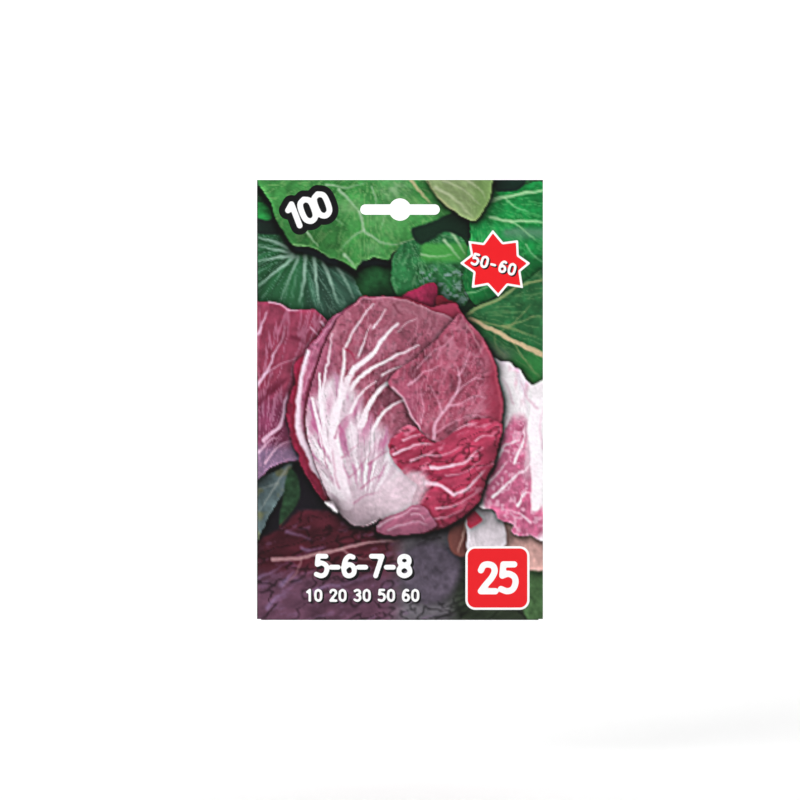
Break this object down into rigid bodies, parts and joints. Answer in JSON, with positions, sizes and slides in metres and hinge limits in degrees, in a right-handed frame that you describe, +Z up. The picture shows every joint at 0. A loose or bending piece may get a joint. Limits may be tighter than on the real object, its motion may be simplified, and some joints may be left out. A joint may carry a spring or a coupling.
{
  "type": "seed packet",
  "caption": "Flat glued paper seed packet with a hanging slot, a full-bleed printed front, an inner foil sachet and its seeds.",
  "frame": {"origin": "centre of the hanging slot's round hole, halfway between the two header plies", "axes": "+Z up along the packet's height, -Y out of the printed front, +X to the right of someone facing the front"},
  "size_m": [0.115, 0.003, 0.177],
  "materials": {
    "printed_paper": "coated paper with a full-bleed colour print outside and bare white inside",
    "glue": "dry, slightly translucent adhesive",
    "foil_laminate": "silver foil laminate with an embossed heat seal",
    "seed_husk": "dry, matt, ribbed husk"
  },
  "bodies": {
    "root": {"paper_envelope": "printed_paper", "header_glue": "glue", "seam_flap_glue": "glue", "bottom_flap_glue": "glue", "sachet_front_film": "foil_laminate", "sachet_back_film": "foil_laminate", "seeds": "seed_husk"}
  },
  "joints": []
}
